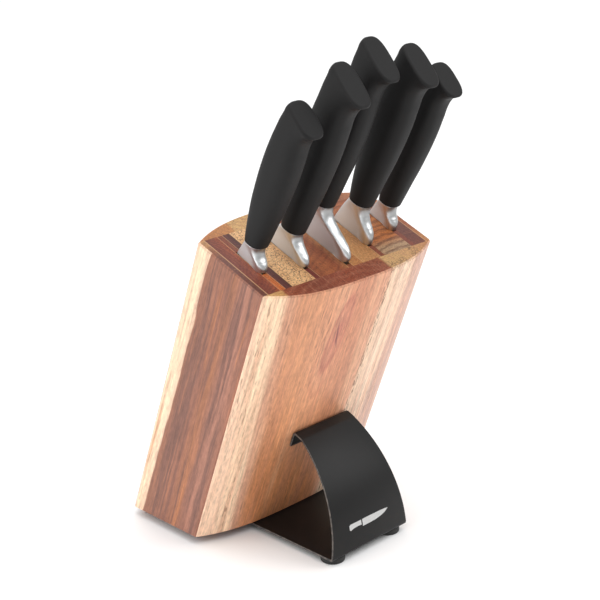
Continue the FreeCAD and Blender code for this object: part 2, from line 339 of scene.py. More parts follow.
def bolster_tree():
    """One bolster: a flat flank that swells into a finger guard at its front edge."""
    sizes = ("Slot Middle", "Rear", "Front", "Joint Rear", "Joint Front", "Joint Height")
    sheet, given = shape_sheet("bolster_shape", sizes)
    grid, share, cosine, sine = tube_grid(sheet)
    foot = (share / 0.04).clamp()
    side = ((share - 0.04) / 0.92).clamp()
    head = ((share - 0.96) / 0.04).clamp()
    keep = foot * (1 - head)
    front = given["Front"] + (given["Joint Front"] - given["Front"]) * sheet.profile(side, BOLSTER, 1)
    front = front - sheet.profile(side, BOLSTER, 5)
    rear = given["Rear"] + (given["Joint Rear"] - given["Rear"]) * sheet.profile(side, BOLSTER, 2)
    middle = (front + rear) * 0.5
    reach = rounded(sine, 2.6)
    guard = 1 - ((front - rear) * (1 - reach) * 0.5).step(1.0, 12.0)
    flank = sheet.profile(side, BOLSTER, 3)
    bulb = sheet.profile(side, BOLSTER, 4)
    thick = (flank + (bulb - flank) * guard) * keep
    tilt = side * side * math.radians(GRIP[0][4])
    along = (front - rear) * 0.5 * reach * keep
    up = side * given["Joint Height"] + along * tilt.math("TANGENT")
    across = given["Slot Middle"] + thick * rounded(cosine, 2.25)
    settings = {"data_type": "FLOAT", "domain": "POINT"}
    sockets = {"Geometry": grid, "Name": "guard", "Value": guard}
    marked = sheet.add("GeometryNodeStoreNamedAttribute", settings, sockets)
    shape = roll_up(sheet, marked, across * MM, (middle + along) * -MM, up * MM)
    return finish_shape(sheet, shape, given["Material"])


def finished(name, mesh, smooth=True):
    """An object from a bmesh: doubles merged, faces outwards."""
    bmesh.ops.remove_doubles(mesh, verts=mesh.verts, dist=1e-6)
    bmesh.ops.recalc_face_normals(mesh, faces=mesh.faces)
    for face in mesh.faces:
        face.smooth = smooth and len(face.verts) < 8
    data = bpy.data.meshes.new(name)
    mesh.to_mesh(data)
    mesh.free()
    piece = bpy.data.objects.new(name, data)
    bpy.context.scene.collection.objects.link(piece)
    return piece


def skin(mesh, rings):
    """Side faces between rings of points, one ring after the other."""
    sides = []
    for first, second in zip(rings, rings[1:]):
        for i in range(len(first)):
            j = (i + 1) % len(first)
            sides.append(mesh.faces.new((first[i], first[j], second[j], second[i])))
    return sides


# ---- the blades, millimetres ----
BLADE_THICK, HEEL_RISE = 2.2, 0.05
SCALLOP, SCALLOP_DEPTH, BREAD_HEEL = 8.0, 1.1, 16.0
SLIP_GAP = 0.6
TANG_FOOT, TANG_REACH, TANG_DEPTH, TANG_SHARE = -8.0, 30.0, 7.0, 0.8
TIP_TAPER, LEAST_WIDTH = 0.35, 0.4
# a blade's section, from its back to its edge: share of its width, share of its thickness
BLADE_SECTION = [(0.0, 0.75), (0.02, 1.0), (0.38, 1.0), (0.80, 0.36), (0.93, 0.24), (1.0, 0.06)]
LENGTHS = {"paring_knife": 88.0, "santoku_knife": 150.0, "chefs_knife": 195.0, "bread_knife": 195.0,
           "utility_knife": 125.0}


def blade_profile(name, share, rear, front):
    """Depth of the back and of the cutting edge at a share of the way from heel to tip."""
    length = LENGTHS[name]
    depth = front - rear
    back, edge = rear, front
    if name == "santoku_knife":
        drop = max(0.0, (share - 1 + 0.9 * depth / length) / (0.9 * depth / length))
        back = rear + (depth - 1.5) * (1 - math.sqrt(max(0.0, 1 - drop ** 2.2)))
        edge = front - 0.8 * max(0.0, (share - 0.75) / 0.25) ** 2
    elif name == "bread_knife":
        turn = max(0.0, (share - 1 + depth / length) / (depth / length))
        edge = front - depth * (1 - math.sqrt(max(0.0, 1 - turn ** 2)))
        down = share * length
        if BREAD_HEEL < down < length - depth:
            edge -= SCALLOP_DEPTH * (1 - abs(math.cos(math.pi * (down - BREAD_HEEL) / SCALLOP)))
    else:
        belly = max(0.0, (share - 0.48) / 0.52)
        edge = front - depth * (0.25 * belly ** 1.6 + 0.75 * belly ** 4.5)
    return back, edge


def joint_middle(name):
    """Depth of the middle of the joint between bolster and grip."""
    return GRIP[0][1] + KNIVES[name]["joint_shift"]


def ground_blade(name, slot_middle, rear, front):
    """A blade with flat cheeks, a long ground bevel and a fine cutting edge, and its hidden tang."""
    rear, front = rear + SLIP_GAP, front - SLIP_GAP
    length = LENGTHS[name]
    steps = 260 if name == "bread_knife" else 110
    mesh = bmesh.new()
    rings = []
    for i in range(steps + 1):
        share = i / steps
        back, edge = blade_profile(name, share, rear, front)
        thick = BLADE_THICK / 2 * (1 - TIP_TAPER * share)
        width = max(edge - back, LEAST_WIDTH)
        down = -HEEL_RISE - share * (length - HEEL_RISE)
        ring = [(-thick * t, back + width * at) for at, t in BLADE_SECTION]
        ring += [(thick * t, back + width * at) for at, t in reversed(BLADE_SECTION)]
        rings.append([mesh.verts.new(Vector((slot_middle + x, -v, down)) * MM) for x, v in ring])
    skin(mesh, rings)
    mesh.faces.new(rings[0])
    mesh.faces.new(rings[-1])
    top = KNIVES[name]["joint"] + TANG_REACH
    middle = Vector((slot_middle, -joint_middle(name), (TANG_FOOT + top) / 2))
    size = (BLADE_THICK * TANG_SHARE * MM, TANG_DEPTH * MM, (top - TANG_FOOT) * MM, 1)
    place = Matrix.Translation(middle * MM) @ Matrix.Diagonal(size)
    bmesh.ops.create_cube(mesh, size=1.0, matrix=place)
    mesh.transform(block_axes)
    return finished(name + "_steel", mesh, False)


# ---- feet and screws ----
# up a foot's side: share of the way, share of its height, share of its radius
FOOT = [(0.0, 0.0, 0.86), (0.2, 0.0, 0.92), (0.35, 0.05, 0.975), (0.5, 0.3, 1.0), (0.65, 0.62, 1.0),
        (0.8, 0.9, 0.97), (0.9, 1.0, 0.93), (1.0, 1.0, 0.9)]


def foot_tree():
    """A rubber foot: a low round pad that bulges a little at its side, with a dished base."""
    sheet, given = shape_sheet("foot_shape", ("Radius", "Height", "Dish", "X", "Y"))
    grid, share, cosine, sine = tube_grid(sheet)
    wall = ((share - 0.3) / 0.4).clamp()
    under = (share / 0.3).clamp()
    lid = ((1 - share) / 0.3).clamp()
    radius = given["Radius"] * sheet.profile(wall, FOOT, 2) * under * lid
    dish = given["Dish"] * (1 - under.step(0.35, 0.75))
    height = given["Height"] * sheet.profile(wall, FOOT, 1) + dish
    x, y = radius * cosine + given["X"], radius * sine + given["Y"]
    shape = roll_up(sheet, grid, x * MM, y * MM, height * MM)
    return finish_shape(sheet, shape, given["Material"])


SCREW_HEAD, SCREW_SHANK, HEAD_DEPTH = 3.6, 1.75, 1.6
RECESS_DEPTH, RECESS_REACH, RECESS_ARM, RECESS_TAPER = 1.1, 2.1, 0.45, 0.8
THREAD_RINGS, THREAD_ROOT, POINT_START, POINT_TIP = 60, 0.72, 0.8, 0.12


def crossed_screw(mesh, x, y, low, high):
    """A countersunk wood screw seen from below: head with a cross recess, cone, and threaded shank."""
    count = 32
    rim = [(SCREW_HEAD * math.cos(math.tau * i / count), SCREW_HEAD * math.sin(math.tau * i / count))
           for i in range(count)]
    arm, reach = RECESS_ARM, RECESS_REACH
    cross = [(reach, -arm), (reach, arm), (arm, arm), (arm, reach), (-arm, reach), (-arm, arm),
             (-reach, arm), (-reach, -arm), (-arm, -arm), (-arm, -reach), (arm, -reach), (arm, -arm)]

    def ring(points, scale, up):
        return [mesh.verts.new(Vector((x + scale * a, y + scale * b, up)) * MM) for a, b in points]

    outer, inner = ring(rim, 1.0, low), ring(cross, 1.0, low)
    floor = ring(cross, RECESS_TAPER, low + RECESS_DEPTH)
    edges = [mesh.edges.new((points[i], points[(i + 1) % len(points)]))
             for points in (outer, inner) for i in range(len(points))]
    bmesh.ops.triangle_fill(mesh, edges=edges, use_beauty=True)
    skin(mesh, [inner, floor])
    mesh.faces.new(floor)
    rings = [outer]
    for turn in range(THREAD_RINGS):
        share = turn / (THREAD_RINGS - 1)
        radius = SCREW_SHANK
        if share >= POINT_START:
            radius = SCREW_SHANK * (1 - share) / (1 - POINT_START) + POINT_TIP
        radius *= 1 if turn % 3 else THREAD_ROOT
        up = low + HEAD_DEPTH + share * (high - low - HEAD_DEPTH)
        rings.append(ring(rim, radius / SCREW_HEAD, up))
    skin(mesh, rings)
    mesh.faces.new(rings[-1])


# ---- the stand: one sheet, bent from the base plate's rear edge to the flange, millimetres ----
SHEET = 1.6
FRONT_BEND, ARCH_RADIUS, ARCH_TURN = 2.6, 83.0, 55.0
RIDGE_RADIUS, RIDGE_TURN, SHELF = 9.0, 12.0, 4.5
HOOK_BEND, FLANGE = 2.6, 9.0
BASE_HALF, ARCH_TOP_HALF = 35.0, 24.5
CUT_EDGE = 0.45


class SheetWalk:
    """Walks along the outer side of a bent sheet in the plane across the block."""

    def __init__(self, y, z, heading):
        self.y, self.z = y, z
        self.heading = math.radians(heading)
        self.stations = []
        self.note()

    def note(self):
        self.stations.append((self.y, self.z, self.heading))

    def straight(self, length, steps=6):
        for _ in range(steps):
            self.y += length / steps * math.cos(self.heading)
            self.z += length / steps * math.sin(self.heading)
            self.note()

    def bend(self, radius, turn, steps):
        """Arc to the right, of the given outer radius and turn in degrees."""
        middle_y = self.y + radius * math.sin(self.heading)
        middle_z = self.z - radius * math.cos(self.heading)
        for _ in range(steps):
            self.heading -= math.radians(turn) / steps
            self.y = middle_y - radius * math.sin(self.heading)
            self.z = middle_z + radius * math.cos(self.heading)
            self.note()


def rounded_section(half, thick, corner, steps=4):
    """Across a sheet: points (x, depth into the sheet) round a bar with rounded corners."""
    middles = [(half - corner, corner), (corner - half, corner), (corner - half, thick - corner),
               (half - corner, thick - corner)]
    points = []
    for turn, (x, depth) in zip((270, 180, 90, 0), middles):
        for i in range(steps + 1):
            angle = math.radians(turn + 90 - 90 * i / steps)
            points.append((x + corner * math.cos(angle), depth + corner * math.sin(angle)))
    return points


def bent_sheet(name, stations, arch_start, arch_end):
    """The stand's sheet: one rounded section carried along the walk, narrowing up the arch.

    Faces on the cut edges take the second material."""
    mesh = bmesh.new()
    section = rounded_section(BASE_HALF, SHEET, CUT_EDGE)
    at_edge = [abs(x) > BASE_HALF - CUT_EDGE / 2 for x, _ in section]
    rings = []
    for i, (y, z, heading) in enumerate(stations):
        share = min(max((i - arch_start + 1) / (arch_end - arch_start), 0), 1)
        half = BASE_HALF + (ARCH_TOP_HALF - BASE_HALF) * share
        ring = []
        for x, depth in rounded_section(half, SHEET, CUT_EDGE):
            place = Vector((x, y + depth * math.sin(heading), z - depth * math.cos(heading)))
            ring.append(mesh.verts.new(place * MM))
        rings.append(ring)
    count = len(section)
    for i, face in enumerate(skin(mesh, rings)):
        face.material_index = 1 if at_edge[i % count] and at_edge[(i + 1) % count] else 0
    mesh.faces.new(rings[0])
    mesh.faces.new(rings[-1])
    return finished(name, mesh)


# ---- the mark on the arch: place across it, and its lower and upper edge up the arch's curve ----
MARK_PROUD = 0.06
MARK_GRIP = [(-18.0, 13.4, 16.2), (-17.0, 12.9, 16.9), (-14.0, 13.6, 16.9), (-10.0, 13.8, 16.8),
             (-7.0, 13.5, 16.8)]
MARK_BLADE = [(-6.0, 12.2, 16.9), (0.0, 12.2, 16.9), (6.0, 12.4, 16.8), (11.0, 13.1, 16.7),
              (15.0, 14.2, 16.5), (18.0, 15.9, 16.2)]


def printed_mark(name, middle_y, middle_z):
    """A plain printed mark low on the arch: the shape of a lying knife."""
    mesh = bmesh.new()
    radius = ARCH_RADIUS + MARK_PROUD
    for outline in (MARK_GRIP, MARK_BLADE):
        rows = []
        for x, lower, upper in outline:
            row = []
            for share in (0.0, 0.5, 1.0):
                angle = (lower + (upper - lower) * share) / ARCH_RADIUS
                y, z = middle_y - radius * math.cos(angle), middle_z + radius * math.sin(angle)
                row.append(mesh.verts.new(Vector((x, y, z)) * MM))
            rows.append(row)
        for first, second in zip(rows, rows[1:]):
            for i in range(2):
                mesh.faces.new((first[i], second[i], second[i + 1], first[i + 1]))
    return finished(name, mesh, False)


# ---- materials ----
def new_material(name):
    material = bpy.data.materials.new(name)
    material.use_nodes = True
    material.node_tree.nodes.clear()
    sheet = Sheet(material.node_tree)
    return material, sheet


def surface(sheet, sockets):
    """The one shader of a material, and its output."""
    shader = sheet.add("ShaderNodeBsdfPrincipled", {}, sockets)
    sheet.add("ShaderNodeOutputMaterial", {}, {"Surface": shader})


def object_points(sheet, scale=1.0, turned=False):
    """Object coordinates, in millimetres when scale is 1000, turned upright if asked."""
    source = sheet.add("ShaderNodeTexCoord", {}, {}, "Object")
    sockets = {"Vector": source, "Scale": (scale, scale, scale)}
    if turned:
        sockets["Rotation"] = (-lean, 0, 0)
    return sheet.add("ShaderNodeMapping", {}, sockets)


def noise(sheet, points, scale, detail=2.0, roughness=0.5, stretch=None, shift=(0, 0, 0)):
    """Noise from 0 to 1; stretch is a scale for each axis before the noise."""
    if stretch:
        points = sheet.add("ShaderNodeMapping", {}, {"Vector": points, "Scale": stretch, "Location": shift})
    sockets = {"Vector": points, "Scale": scale, "Detail": detail, "Roughness": roughness}
    return sheet.add("ShaderNodeTexNoise", {}, sockets)


def mix_colour(sheet, factor, first, second, blend="MIX"):
    settings = {"data_type": "RGBA", "blend_type": blend}
    sockets = {"Factor": factor, 6: first, 7: second}
    return sheet.add("ShaderNodeMix", settings, sockets, 2)


def bump(sheet, height, distance, strength=1.0):
    return sheet.add("ShaderNodeBump", {}, {"Height": height, "Distance": distance, "Strength": strength})


def soft_touch():
    material, sheet = new_material("soft_touch_grip")
    points = object_points(sheet, 1000)
    cloud = noise(sheet, points, 0.09, 3)
    grain = noise(sheet, points, 4.0, 2)
    shade = mix_colour(sheet, cloud, (0.0075, 0.0072, 0.0073, 1), (0.0120, 0.0115, 0.0117, 1))
    surface(sheet, {
        "Base Color": shade,
        "Roughness": cloud * 0.08 + 0.5 + grain * 0.04,
        "Normal": bump(sheet, grain, 0.00004, 0.5),
        "Specular IOR Level": 0.2,
    })
    return material


def satin_steel(name, colour, rough, brush_axis):
    material, sheet = new_material(name)
    points = object_points(sheet, 1000, True)
    brushed = noise(sheet, points, 1.0, 3, 0.6, brush_axis)
    cloud = noise(sheet, points, 0.12, 2)
    shade = mix_colour(sheet, brushed, tuple(c * 0.9 for c in colour) + (1,), (*colour, 1))
    surface(sheet, {
        "Base Color": shade,
        "Metallic": 1.0,
        "Roughness": brushed * 0.1 + rough + cloud * 0.06,
        "Normal": bump(sheet, brushed, 0.00001, 0.6),
    })
    return material


def bolster_steel():
    """Satin on the flanks and polished on the finger guard, with a darker base colour painted on the guard's
    forward-facing nose as a painted dark reflection.
    """
    material, sheet = new_material("bolster_steel")
    points = block_points(sheet)
    brushed = noise(sheet, points, 1.0, 3, 0.6, (0.6, 0.5, 5.0))
    cloud = noise(sheet, points, 0.16, 2)
    guard = sheet.add("ShaderNodeAttribute", {"attribute_name": "guard"}, {}, "Fac")
    normal = sheet.add("ShaderNodeTexCoord", {}, {}, "Normal")
    # where the guard faces forward its base colour is painted darker: a painted dark reflection on the nose
    ahead = (0.0, -math.cos(lean), -math.sin(lean))
    painted_nose_reflection = sheet.add("ShaderNodeVectorMath", {"operation": "DOT_PRODUCT"}, {0: normal, 1: ahead}, "Value")
    painted_nose_reflection = painted_nose_reflection.step(0.45, 0.95) * guard
    surface(sheet, {
        "Base Color": mix_colour(sheet, painted_nose_reflection, (0.74, 0.76, 0.77, 1), (0.32, 0.32, 0.32, 1)),
        "Metallic": 1.0,
        "Roughness": brushed * 0.1 + 0.56 + cloud * 0.06 - guard * 0.28,
        "Normal": bump(sheet, brushed, 0.00001, 0.4),
    })
    return material


def satin_rubber():
    material, sheet = new_material("satin_rubber")
    points = object_points(sheet, 1000)
    dust = noise(sheet, points, 0.5, 3)
    surface(sheet, {
        "Base Color": mix_colour(sheet, dust, (0.012, 0.012, 0.012, 1), (0.022, 0.021, 0.020, 1)),
        "Roughness": dust * 0.2 + 0.6,
        "Normal": bump(sheet, noise(sheet, points, 3.0, 2), 0.00005, 0.4),
    })
    return material


def powder_coat():
    material, sheet = new_material("black_powder_coat")
    points = object_points(sheet, 1000)
    orange_peel = noise(sheet, points, 1.6, 2)
    cloud = noise(sheet, points, 0.03, 2)
    surface(sheet, {
        "Base Color": mix_colour(sheet, cloud, (0.006, 0.0058, 0.0058, 1), (0.010, 0.0096, 0.0096, 1)),
        "Roughness": orange_peel * 0.08 + 0.36,
        "Normal": bump(sheet, orange_peel, 0.00003, 0.5),
        "Specular IOR Level": 0.22,
    })
    return material


def cut_edge():
    """The sheet's cut edge: the coat worn thin to a lighter, partly metallic colour, which also stands in as
    a painted highlight along the edge's thin light line.
    """
    material, sheet = new_material("cut_edge_wear_and_painted_highlight")
    worn_and_highlit = noise(sheet, object_points(sheet, 1000), 0.35, 3)
    coat, highlit_bare_steel = (0.03, 0.026, 0.024, 1), (0.16, 0.14, 0.125, 1)
    surface(sheet, {
        # lighter edge colour: partly wear on the coat, partly a painted highlight along the cut edge
        "Base Color": mix_colour(sheet, worn_and_highlit.step(0.35, 0.7), coat, highlit_bare_steel),
        "Metallic": worn_and_highlit.step(0.4, 0.7) * 0.6,
        "Roughness": worn_and_highlit * 0.2 + 0.35,
    })
    return material


SEAM = 70.2


def paint(red, green, blue):
    """A colour as seen on a screen, 0 to 255, turned linear."""
    linear = [((c / 255 + 0.055) / 1.055) ** 2.4 if c > 10 else c / 3295 for c in (red, green, blue)]
    return (*linear, 1.0)


def block_points(sheet):
    """Millimetres in the block's own axes: across, back and up, from the middle of its top."""
    source = sheet.add("ShaderNodeTexCoord", {}, {}, "Object")
    middle = block_axes.inverted() @ Vector((0, 0, 0)) / MM
    sockets = {"Vector": source, "Scale": (1000, 1000, 1000), "Rotation": (-lean, 0, 0), "Location": middle}
    return sheet.add("ShaderNodeMapping", {}, sockets)


def facing_up(sheet):
    """1 on the sawn ends at the top and bottom of the block, 0 along the grain."""
    source = sheet.add("ShaderNodeTexCoord", {}, {}, "Normal")
    sockets = {0: source, 1: tuple(slide)}
    along = sheet.add("ShaderNodeVectorMath", {"operation": "DOT_PRODUCT"}, sockets, "Value")
    return along.math("ABSOLUTE").step(0.62, 0.86)


def across_ramp(sheet, place, stops):
    """A colour that changes with the place across a board, in millimetres."""
    low, high = stops[0][0], stops[-1][0]
    shares = [((at - low) / (high - low), paint(*colour)[:3]) for at, colour in stops]
    return sheet.add("ShaderNodeValToRGB", {"stops": shares}, {"Fac": (place - low) / (high - low)})


# ---- the boards: each colour list gives places across the board in millimetres, then colours ----
CREAM, SHELL, ROSE = (250, 216, 182), (240, 202, 172), (205, 162, 142)
PEACH, AMBER, RUST = (216, 158, 122), (200, 132, 84), (150, 76, 44)
UMBER, PLUM, DARK_PLUM = (148, 98, 76), (112, 66, 56), (84, 44, 38)
STRAW, HONEY, TAN = (206, 164, 108), (192, 132, 78), (176, 112, 66)

# what a board has unless it says otherwise. along: the way across the board. face, end: colours of its
# long face and of its sawn ends. streak, glow: dark and light streaks. fan: how its lines spread towards
# the bottom. deep: a darker patch low down. eye: middle of a knot-like eye. rough: where torn grain runs.
PLAIN_BOARD = dict(ring_share=0.35, face=None, fan=0.0, glow=None, streak_share=0.35, deep=None, eye=None,
                   rough=None, banding=0.25, band_from=-80.0)

BOARDS = {
    "left_end_board": dict(
        along="depth", fan=-0.0009, wander=3.2, ring_gap=5.5, pith=(-48, 60), seed=3.0,
        face=[(-29, SHELL), (-22, CREAM), (-17.4, SHELL), (-16.6, UMBER), (-8, (160, 106, 82)),
              (-1, (140, 92, 74)), (6, (164, 106, 74)), (11, (150, 100, 80)), (18, (166, 114, 94)),
              (24, (150, 100, 80)), (29, (156, 104, 84))],
        end=[(-29, (196, 146, 98)), (-18, (150, 92, 62)), (-8, PLUM), (29, (100, 54, 42))],
        streak=(112, 76, 66), glow=(196, 124, 78), streak_share=0.6, specks=0.3, banding=0.8,
        band_from=-18.0),
    "right_end_board": dict(
        along="depth", fan=0.0005, wander=3.0, ring_gap=6.0, pith=(60, -50), seed=9.0,
        face=[(-29, AMBER), (-5, PEACH), (12, (196, 140, 100)), (20, ROSE), (29, SHELL)],
        end=[(-29, TAN), (10, RUST), (29, HONEY)],
        streak=(160, 104, 74), glow=(226, 176, 136), streak_share=0.45, specks=0.3),
    "front_board": dict(
        along="width", fan=0.00075, wander=2.0, ring_gap=5.2, pith=(-12, 130), seed=5.0, ring_share=0.16,
        face=[(-75, SHELL), (-70, (244, 210, 176)), (-63, (242, 208, 174)), (-60.5, (216, 172, 142)),
              (-58.2, (200, 150, 122)),
              (-55, (206, 152, 120)), (-50, (204, 144, 106)), (-36, (206, 146, 108)), (-20, (216, 156, 120)),
              (2, (198, 136, 104)), (18, (202, 144, 114)), (24, (218, 166, 136)), (26, (232, 198, 168)),
              (40, (234, 204, 178)), (48, SHELL), (55, (204, 166, 150)), (60, (224, 184, 160)),
              (67, (200, 160, 146)), (75, (220, 180, 158))],
        end=[(-75, STRAW), (-61, (190, 142, 84)), (-59, (138, 66, 40)), (-35, (120, 56, 36)),
             (-8, (146, 70, 44)),
             (10, (132, 62, 38)), (24, (146, 74, 46)), (26, STRAW), (52, (200, 152, 98)), (75, TAN)],
        streak=(190, 130, 102), glow=(236, 190, 152), streak_share=0.3, specks=0.7,
        deep=(200, 130, 80), eye=(-11, -40), rough=25.0),
    "back_board": dict(
        along="width", fan=-0.0004, wander=3.0, ring_gap=4.5, pith=(20, -110), seed=7.0,
        face=[(-75, (196, 136, 96)), (-46, AMBER), (-44.6, CREAM), (-30, SHELL), (-24, CREAM), (-22.8, PEACH),
              (4, (206, 142, 100)), (26, PEACH), (30, (168, 108, 78)), (52, (150, 96, 74)), (54, SHELL),
              (66, CREAM), (75, ROSE)],
        end=[(-75, TAN), (-46, HONEY), (-44, STRAW), (-24, STRAW), (-22, TAN), (28, HONEY), (30, PLUM),
             (75, TAN)],
        streak=(160, 104, 74), glow=(228, 172, 124), streak_share=0.4, specks=0.6, banding=0.4),
    "core_board_1": dict(
        along="width", wander=1.2, ring_gap=2.4, pith=(-90, -10), seed=1.0,
        end=[(-70, (120, 58, 44)), (-64, (136, 68, 46)), (-60, (160, 78, 44))], streak=(92, 44, 40),
        specks=0.2),
    "core_board_2": dict(
        along="width", wander=1.0, ring_gap=2.2, pith=(-80, 40), seed=2.0,
        end=[(-56, (104, 52, 44)), (-50, DARK_PLUM)], streak=(66, 34, 32), specks=0.1),
    "core_board_3": dict(
        along="width", wander=2.0, ring_gap=3.2, pith=(-20, 90), seed=4.0,
        end=[(-50, (226, 178, 126)), (-40, (236, 190, 138)), (-31, (220, 168, 116))],
        streak=(206, 150, 100), specks=1.7),
    "core_board_4": dict(
        along="width", wander=3.0, ring_gap=4.5, pith=(-60, -60), seed=6.0,
        end=[(-27, (146, 76, 44)), (-18, (170, 96, 54)), (-8, (150, 78, 44)), (-2, (182, 118, 72))],
        streak=(104, 50, 30), specks=0.3),
    "core_board_5": dict(
        along="width", wander=1.4, ring_gap=3.0, pith=(40, -50), seed=8.0,
        end=[(2, HONEY), (11, (186, 124, 74))], streak=(160, 96, 56), specks=0.3),
    "core_board_6": dict(
        along="width", wander=1.4, ring_gap=3.0, pith=(60, 50), seed=10.0,
        end=[(11, (202, 148, 94)), (27, (190, 134, 84))], streak=(172, 112, 66), specks=0.3),
    "core_board_7": dict(
        along="depth", wander=3.0, ring_gap=5.0, pith=(44, 58), seed=11.0, ring_share=0.6,
        end=[(-29, (150, 82, 46)), (-6, (196, 120, 62)), (16, (188, 112, 60)), (24, (184, 148, 112))],
        streak=(100, 52, 30), specks=0.3),
    "core_board_8": dict(
        along="depth", wander=2.0, ring_gap=3.0, pith=(100, 0), seed=12.0,
        end=[(-29, (132, 72, 50)), (0, PLUM), (29, (120, 62, 46))], streak=(84, 44, 38), specks=0.2),
    "rear_slip": dict(
        along="width", wander=1.5, ring_gap=1.6, pith=(-160, 30), seed=14.0,
        end=[(-75, (130, 66, 46)), (0, (148, 80, 50)), (75, (136, 72, 48))], streak=(96, 48, 36), specks=0.2),
    "front_slip": dict(
        along="width", wander=1.5, ring_gap=1.6, pith=(-160, 30), seed=13.0,
        end=[(-75, (206, 112, 52)), (-48, (200, 106, 50)), (-44, (116, 42, 32)), (-14, (112, 36, 28)),
             (-10, (150, 84, 46)), (14, (150, 80, 50)), (44, (142, 70, 46)), (75, (132, 66, 46))],
        streak=(96, 44, 32), specks=0.2),
}


# ---- grain: how fast each noise changes in a millimetre across, back and up the block ----
WAVE, RIPPLE = (0.06, 0.06, 0.014), (0.3, 0.3, 0.05)
STREAK, FIBRE, FLECK = (0.16, 0.16, 0.007), (0.7, 0.7, 0.03), (0.7, 0.7, 0.2)
PORE, PATCH, TORN = (1.1, 1.1, 0.11), (0.07, 0.07, 0.012), (0.9, 0.9, 0.12)
RAY = {"width": (0.9, 0.09, 0.9), "depth": (0.09, 0.9, 0.9)}
BAND_ACROSS, BAND_UP = 0.16, 0.004
CRACKS = 0.32
EYE_WIDE, EYE_TALL, EYE_LEAN, EYE_RINGS = 9, 38, 0.12, 1.8
DARK_PORE, GLUE, END_GLOW = (62, 36, 26), (222, 176, 128), (206, 146, 96)


def read_grain(sheet, board):
    """Where each point lies in a board, and the noises that its wood is drawn from."""
    points = block_points(sheet)
    x, back, up = sheet.split(points)
    depth = back * -1
    start = (board.seed, board.seed * 1.7, board.seed * 2.3)
    wave = noise(sheet, points, 1.0, 2, 0.5, WAVE, start) - 0.5
    ripple = noise(sheet, points, 1.0, 2, 0.6, RIPPLE, start) - 0.5
    side = x if board.along == "width" else depth
    pith_x, pith_depth = board.pith
    radius = ((x - pith_x) ** 2 + (depth - pith_depth) ** 2) ** 0.5 + wave * 9 + ripple * 1.2
    return SimpleNamespace(
        points=points, x=x, up=up, start=start, wave=wave, ripple=ripple,
        place=side + wave * (2 * board.wander) + ripple * (0.6 * board.wander),
        ring=(radius * (math.tau / board.ring_gap)).math("SINE") * 0.5 + 0.5,
        streaks=noise(sheet, points, 1.0, 4, 0.6, STREAK, start),
        fibre=noise(sheet, points, 1.0, 4, 0.75, FIBRE, start),
        fleck=noise(sheet, points, 1.0, 2, 0.6, FLECK, start),
        pore=noise(sheet, points, 1.0, 1, 0.5, PORE, start),
        patch=noise(sheet, points, 1.0, 1, 0.5, PATCH, start),
    )


def sawn_end(sheet, board, grain):
    """Colour of a board's sawn end: rings, rays, pores, fine cracks and the pale lines of glue."""
    colour = across_ramp(sheet, grain.place, board.end)
    ray = noise(sheet, grain.points, 1.0, 3, 0.7, RAY[board.along], grain.start)
    grown = grain.ring ** 2 * board.ring_share + ray.step(0.5, 0.68) * 0.4
    colour = mix_colour(sheet, grown, colour, paint(*board.streak))
    colour = mix_colour(sheet, (1 - ray).step(0.58, 0.74) * 0.22, colour, paint(*END_GLOW))
    mottle = (noise(sheet, grain.points, 0.9, 3) - 0.5) * 1.3 + 0.87
    colour = mix_colour(sheet, 1.0, colour, mottle, "MULTIPLY")
    sockets = {"Vector": grain.points, "Scale": CRACKS}
    crack = sheet.add("ShaderNodeTexVoronoi", {"feature": "DISTANCE_TO_EDGE"}, sockets)
    broken = (1 - crack.step(0.03, 0.08)) * grain.pore.step(0.45, 0.55)
    if board.rough is not None:
        broken = broken + (1 - crack.step(0.02, 0.09)) * grain.place.step(board.rough, board.rough + 3)
    speck = (grain.pore.step(0.62, 0.7) + broken).clamp()
    speck = speck * grain.patch.step(0.66 - 0.2 * board.specks, 0.72 - 0.16 * board.specks)
    colour = mix_colour(sheet, speck * min(0.8, 0.4 + 0.3 * board.specks), colour, paint(*DARK_PORE))
    seam = 1 - (grain.x.math("ABSOLUTE") - SEAM).math("ABSOLUTE").step(0.12, 0.4)
    if board.along == "width" and board.face is None:
        for border in (board.end[0][0], board.end[-1][0]):
            seam = seam + 1 - (grain.x - border).math("ABSOLUTE").step(0.1, 0.45)
    return mix_colour(sheet, seam.clamp() * 0.5, colour, paint(*GLUE))


def parted_grain(sheet, colour, grain, eye):
    """Grain that parts round an eye: long closed rings, with a short dark split at the middle."""
    along = grain.up - eye[1]
    aside = grain.x - eye[0] - along * EYE_LEAN + grain.ripple * 2
    reach = ((aside / EYE_WIDE) ** 2 + (along / EYE_TALL) ** 2) ** 0.5
    rings = (((reach + grain.ripple * 0.2) * (math.tau * EYE_RINGS)).math("SINE") * 0.5 + 0.5) ** 2
    near = 1 - reach.step(0.5, 1.7)
    colour = mix_colour(sheet, rings * near * 0.8, colour, paint(178, 108, 86))
    colour = mix_colour(sheet, (1 - reach.step(0.0, 1.3)) * 0.75, colour, paint(190, 120, 100))
    curve = aside + along * 0.3 - along * along * 0.004
    split = (1 - curve.math("ABSOLUTE").step(0.3, 1.0)) * (1 - along.math("ABSOLUTE").step(5, 12))
    return mix_colour(sheet, split * 0.75, colour, paint(112, 64, 66))


def torn_grain(sheet, colour, grain, rough):
    """Short dark tears along a line up the board, and thinly beyond it near the top."""
    torn = noise(sheet, grain.points, 1.0, 3, 0.7, TORN, (3.1, 1.2, 0.4))
    near = 1 - (grain.x - rough - grain.wave * 4).math("ABSOLUTE").step(0.5, 3.2)
    near = near + (grain.x - rough).step(2, 16) * (grain.up + 42).step(0, 40) * 0.45
    return mix_colour(sheet, torn.step(0.5, 0.58) * near.clamp() * 0.85, colour, paint(120, 78, 52))


